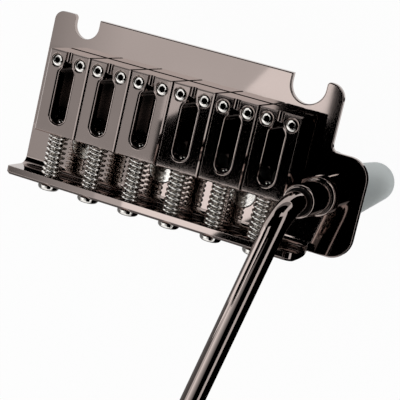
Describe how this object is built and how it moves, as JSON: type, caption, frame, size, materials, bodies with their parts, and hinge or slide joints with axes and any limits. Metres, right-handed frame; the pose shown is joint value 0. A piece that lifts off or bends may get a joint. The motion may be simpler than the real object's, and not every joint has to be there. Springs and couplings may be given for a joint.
{
  "type": "guitar tremolo bridge",
  "caption": "Two-post guitar tremolo bridge in black chrome: bent plate with block saddles on height and intonation screws, a cast block below and a push-in swivelling arm.",
  "frame": {"origin": "midway between the two post notches, on the underside of the plate", "axes": "+X along the string spread towards the arm, +Y towards the neck, +Z out of the guitar"},
  "size_m": [0.0826, 0.1599, 0.0772],
  "materials": {
    "black_chrome_plate": "black chrome plated steel",
    "black_chrome_saddle": "black chrome plated saddle",
    "black_chrome_arm": "black chrome plated bar",
    "nickel_screw": "bright nickel plated steel",
    "nickel_spring": "bright nickel plated spring wire",
    "cast_zinc": "matte grey casting",
    "nylon": "black nylon",
    "black_plastic": "moulded black"
  },
  "bodies": {
    "bridge": {"base_plate": "black_chrome_plate", "sustain_block": "cast_zinc", "block_screws": "nickel_screw", "arm_socket": "black_chrome_arm", "arm_bush": "nylon", "socket_grub_screw": "nickel_screw"},
    "arm": {"arm": "black_chrome_arm", "arm_tip": "black_plastic"},
    "spring_1": {"intonation_spring_1": "nickel_spring"},
    "screw_1": {"intonation_screw_1": "nickel_screw"},
    "saddle_1": {"saddle_1": "black_chrome_saddle"},
    "height_1": {"height_screws_1": "nickel_screw"},
    "spring_2": {"intonation_spring_2": "nickel_spring"},
    "screw_2": {"intonation_screw_2": "nickel_screw"},
    "saddle_2": {"saddle_2": "black_chrome_saddle"},
    "height_2": {"height_screws_2": "nickel_screw"},
    "spring_3": {"intonation_spring_3": "nickel_spring"},
    "screw_3": {"intonation_screw_3": "nickel_screw"},
    "saddle_3": {"saddle_3": "black_chrome_saddle"},
    "height_3": {"height_screws_3": "nickel_screw"},
    "spring_4": {"intonation_spring_4": "nickel_spring"},
    "screw_4": {"intonation_screw_4": "nickel_screw"},
    "saddle_4": {"saddle_4": "black_chrome_saddle"},
    "height_4": {"height_screws_4": "nickel_screw"},
    "spring_5": {"intonation_spring_5": "nickel_spring"},
    "screw_5": {"intonation_screw_5": "nickel_screw"},
    "saddle_5": {"saddle_5": "black_chrome_saddle"},
    "height_5": {"height_screws_5": "nickel_screw"},
    "spring_6": {"intonation_spring_6": "nickel_spring"},
    "screw_6": {"intonation_screw_6": "nickel_screw"},
    "saddle_6": {"saddle_6": "black_chrome_saddle"},
    "height_6": {"height_screws_6": "nickel_screw"}
  },
  "joints": [
    {"name": "saddle_tilt_1", "type": "hinge", "parent": "bridge", "child": "spring_1", "pos_m": [-0.02625, -0.0365, 0.0078], "axis": [1, 0, 0], "range_deg": [-1, 2]},
    {"name": "intonation_turn_1", "type": "hinge", "parent": "spring_1", "child": "screw_1", "pos_m": [-0.02625, -0.0365, 0.0078], "axis": [0, 1, 0], "range_deg": [-721, 2161]},
    {"name": "intonation_1", "type": "slide", "parent": "spring_1", "child": "saddle_1", "axis": [0, 1, 0], "range_m": [-0.003, 0.001], "deforming": ["intonation_spring_1"]},
    {"name": "saddle_height_1", "type": "slide", "parent": "saddle_1", "child": "height_1", "axis": [0, 0, 1], "range_m": [-0.001, 0.0005]},
    {"name": "saddle_tilt_2", "type": "hinge", "parent": "bridge", "child": "spring_2", "pos_m": [-0.01575, -0.0365, 0.0078], "axis": [1, 0, 0], "range_deg": [-1, 2]},
    {"name": "intonation_turn_2", "type": "hinge", "parent": "spring_2", "child": "screw_2", "pos_m": [-0.01575, -0.0365, 0.0078], "axis": [0, 1, 0], "range_deg": [-721, 2161]},
    {"name": "intonation_2", "type": "slide", "parent": "spring_2", "child": "saddle_2", "axis": [0, 1, 0], "range_m": [-0.003, 0.001], "deforming": ["intonation_spring_2"]},
    {"name": "saddle_height_2", "type": "slide", "parent": "saddle_2", "child": "height_2", "axis": [0, 0, 1], "range_m": [-0.001, 0.0005]},
    {"name": "saddle_tilt_3", "type": "hinge", "parent": "bridge", "child": "spring_3", "pos_m": [-0.00525, -0.0365, 0.0078], "axis": [1, 0, 0], "range_deg": [-1, 2]},
    {"name": "intonation_turn_3", "type": "hinge", "parent": "spring_3", "child": "screw_3", "pos_m": [-0.00525, -0.0365, 0.0078], "axis": [0, 1, 0], "range_deg": [-721, 2161]},
    {"name": "intonation_3", "type": "slide", "parent": "spring_3", "child": "saddle_3", "axis": [0, 1, 0], "range_m": [-0.003, 0.001], "deforming": ["intonation_spring_3"]},
    {"name": "saddle_height_3", "type": "slide", "parent": "saddle_3", "child": "height_3", "axis": [0, 0, 1], "range_m": [-0.001, 0.0005]},
    {"name": "saddle_tilt_4", "type": "hinge", "parent": "bridge", "child": "spring_4", "pos_m": [0.00525, -0.0365, 0.0078], "axis": [1, 0, 0], "range_deg": [-1, 2]},
    {"name": "intonation_turn_4", "type": "hinge", "parent": "spring_4", "child": "screw_4", "pos_m": [0.00525, -0.0365, 0.0078], "axis": [0, 1, 0], "range_deg": [-721, 2161]},
    {"name": "intonation_4", "type": "slide", "parent": "spring_4", "child": "saddle_4", "axis": [0, 1, 0], "range_m": [-0.003, 0.001], "deforming": ["intonation_spring_4"]},
    {"name": "saddle_height_4", "type": "slide", "parent": "saddle_4", "child": "height_4", "axis": [0, 0, 1], "range_m": [-0.001, 0.0005]},
    {"name": "saddle_tilt_5", "type": "hinge", "parent": "bridge", "child": "spring_5", "pos_m": [0.01575, -0.0365, 0.0078], "axis": [1, 0, 0], "range_deg": [-1, 2]},
    {"name": "intonation_turn_5", "type": "hinge", "parent": "spring_5", "child": "screw_5", "pos_m": [0.01575, -0.0365, 0.0078], "axis": [0, 1, 0], "range_deg": [-721, 2161]},
    {"name": "intonation_5", "type": "slide", "parent": "spring_5", "child": "saddle_5", "axis": [0, 1, 0], "range_m": [-0.003, 0.001], "deforming": ["intonation_spring_5"]},
    {"name": "saddle_height_5", "type": "slide", "parent": "saddle_5", "child": "height_5", "axis": [0, 0, 1], "range_m": [-0.001, 0.0005]},
    {"name": "saddle_tilt_6", "type": "hinge", "parent": "bridge", "child": "spring_6", "pos_m": [0.02625, -0.0365, 0.0078], "axis": [1, 0, 0], "range_deg": [-1, 2]},
    {"name": "intonation_turn_6", "type": "hinge", "parent": "spring_6", "child": "screw_6", "pos_m": [0.02625, -0.0365, 0.0078], "axis": [0, 1, 0], "range_deg": [-721, 2161]},
    {"name": "intonation_6", "type": "slide", "parent": "spring_6", "child": "saddle_6", "axis": [0, 1, 0], "range_m": [-0.003, 0.001], "deforming": ["intonation_spring_6"]},
    {"name": "saddle_height_6", "type": "slide", "parent": "saddle_6", "child": "height_6", "axis": [0, 0, 1], "range_m": [-0.001, 0.0005]},
    {"name": "arm_swivel", "type": "hinge", "parent": "bridge", "child": "arm", "pos_m": [0.0363, -0.023, 0], "axis": [0, 0, 1], "continuous": true}
  ],
  "couplings": [
    {"joint": "intonation_turn_1", "follows": "intonation_1", "rad_per_m": -12566},
    {"joint": "saddle_height_1", "follows": "saddle_tilt_1", "m_per_rad": -0.0258},
    {"joint": "intonation_turn_2", "follows": "intonation_2", "rad_per_m": -12566},
    {"joint": "saddle_height_2", "follows": "saddle_tilt_2", "m_per_rad": -0.0258},
    {"joint": "intonation_turn_3", "follows": "intonation_3", "rad_per_m": -12566},
    {"joint": "saddle_height_3", "follows": "saddle_tilt_3", "m_per_rad": -0.0258},
    {"joint": "intonation_turn_4", "follows": "intonation_4", "rad_per_m": -12566},
    {"joint": "saddle_height_4", "follows": "saddle_tilt_4", "m_per_rad": -0.0258},
    {"joint": "intonation_turn_5", "follows": "intonation_5", "rad_per_m": -12566},
    {"joint": "saddle_height_5", "follows": "saddle_tilt_5", "m_per_rad": -0.0258},
    {"joint": "intonation_turn_6", "follows": "intonation_6", "rad_per_m": -12566},
    {"joint": "saddle_height_6", "follows": "saddle_tilt_6", "m_per_rad": -0.0258}
  ]
}
